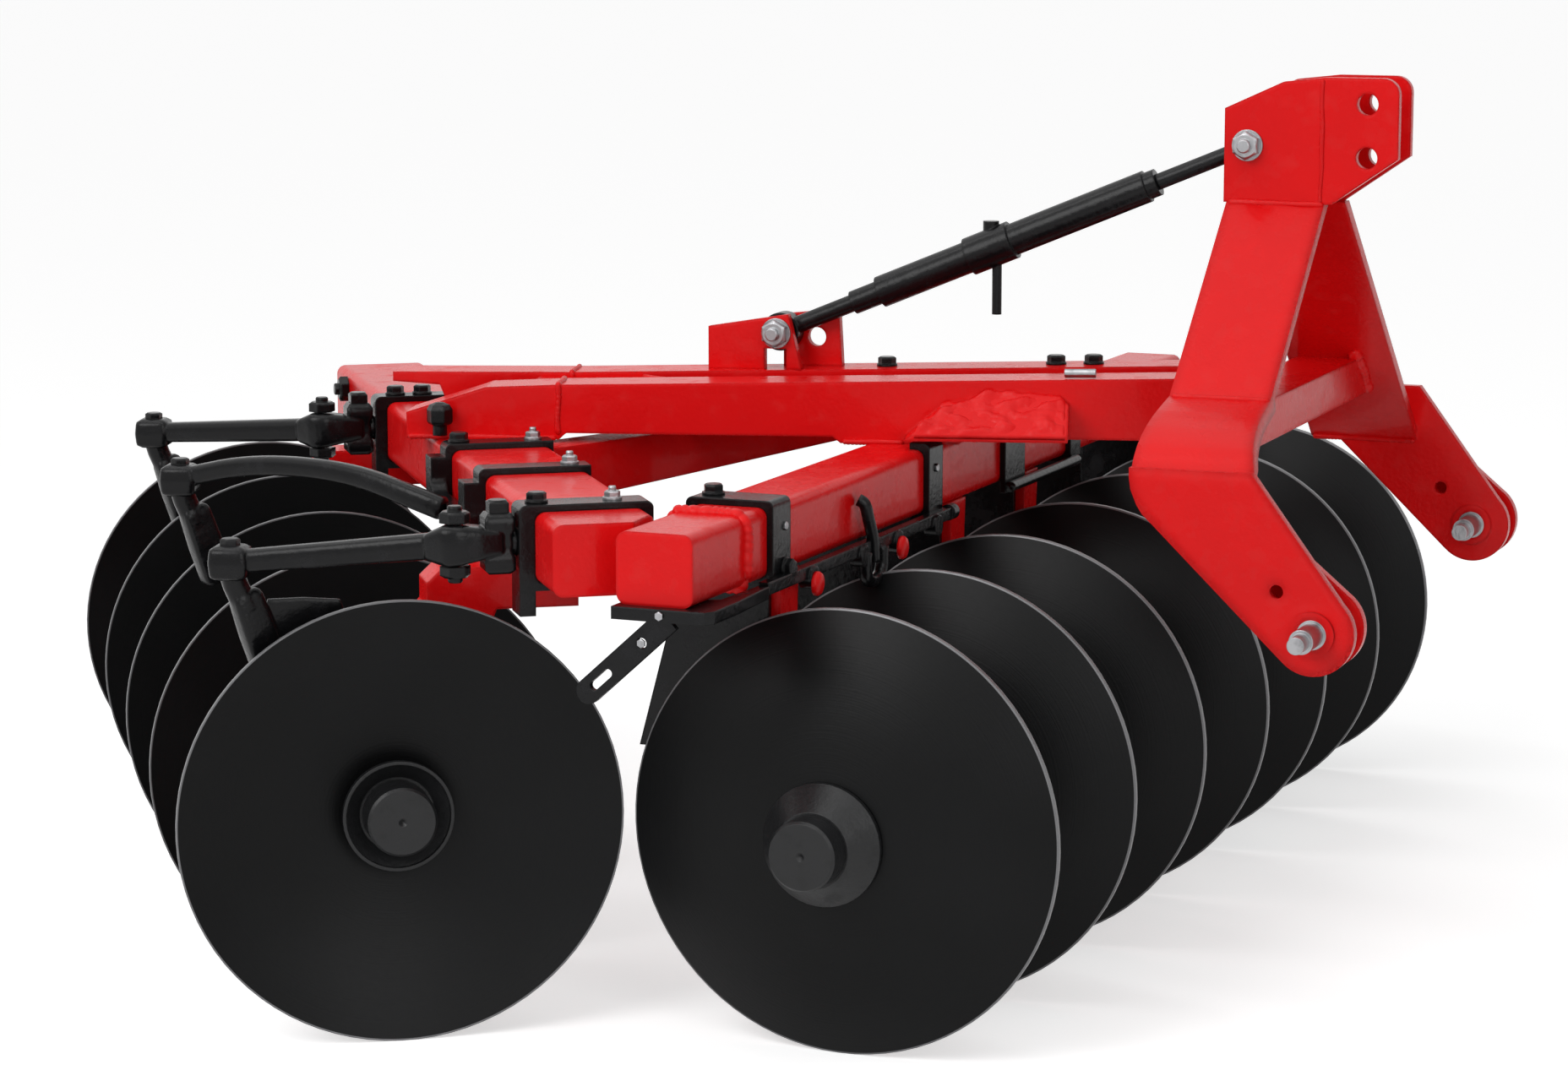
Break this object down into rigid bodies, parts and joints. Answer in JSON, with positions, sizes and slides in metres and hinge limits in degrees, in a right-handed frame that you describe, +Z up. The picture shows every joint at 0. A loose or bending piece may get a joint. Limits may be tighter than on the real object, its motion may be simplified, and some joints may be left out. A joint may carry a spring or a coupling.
{
  "type": "offset disc harrow",
  "caption": "Mounted offset disc harrow: box-section V frame with a bent-leg hitch mast, adjustable top brace, freely turning front and rear gangs of dished discs, and scrapers.",
  "frame": {"origin": "middle of the bounding box on the ground plane, under the discs", "axes": "+X forward to the tractor, +Y to the machine's left along the lower hitch pins, +Z up"},
  "size_m": [1.9627, 1.9419, 1.072],
  "materials": {
    "red_paint": "gloss",
    "black_paint": "satin",
    "disc_black": "satin",
    "zinc_steel": "satin",
    "bare_steel": "satin"
  },
  "bodies": {
    "frame": {"front_beam": "red_paint", "rear_beam": "red_paint", "right_rail": "red_paint", "left_rail": "red_paint", "cross_tube": "red_paint", "brace_tube": "red_paint", "right_mast_plate": "red_paint", "left_mast_plate": "red_paint", "right_leg": "red_paint", "left_leg": "red_paint", "right_fork": "red_paint", "left_fork": "red_paint", "brace_bracket": "red_paint", "front_hangers": "red_paint", "rear_hangers": "red_paint", "front_bearings": "red_paint", "rear_bearings": "red_paint", "brace_barrel": "black_paint", "brace_rear_rod": "black_paint", "brace_front_rod": "black_paint", "front_straps": "black_paint", "rear_straps": "black_paint", "front_scraper_bar": "black_paint", "front_scrapers": "black_paint", "rear_scraper_arms": "black_paint", "rear_scraper_blades": "black_paint", "front_end_plate": "black_paint", "right_pin": "zinc_steel", "left_pin": "zinc_steel", "bracket_bolt": "zinc_steel", "mast_bolt": "zinc_steel"},
    "front_gang": {"front_discs": "disc_black", "front_spools": "black_paint", "front_axle": "bare_steel", "front_washers": "bare_steel", "front_nuts": "bare_steel"},
    "rear_gang": {"rear_discs": "disc_black", "rear_spools": "black_paint", "rear_axle": "bare_steel", "rear_washers": "bare_steel", "rear_nuts": "bare_steel"}
  },
  "joints": [
    {"name": "front_gang_turn", "type": "hinge", "parent": "frame", "child": "front_gang", "pos_m": [0.47743, 0.13026, 0.255], "axis": [0.0209, 0.9998, 0], "continuous": true},
    {"name": "rear_gang_turn", "type": "hinge", "parent": "frame", "child": "rear_gang", "pos_m": [-0.39857, -0.28574, 0.255], "axis": [-0.5736, 0.8192, 0], "continuous": true}
  ]
}
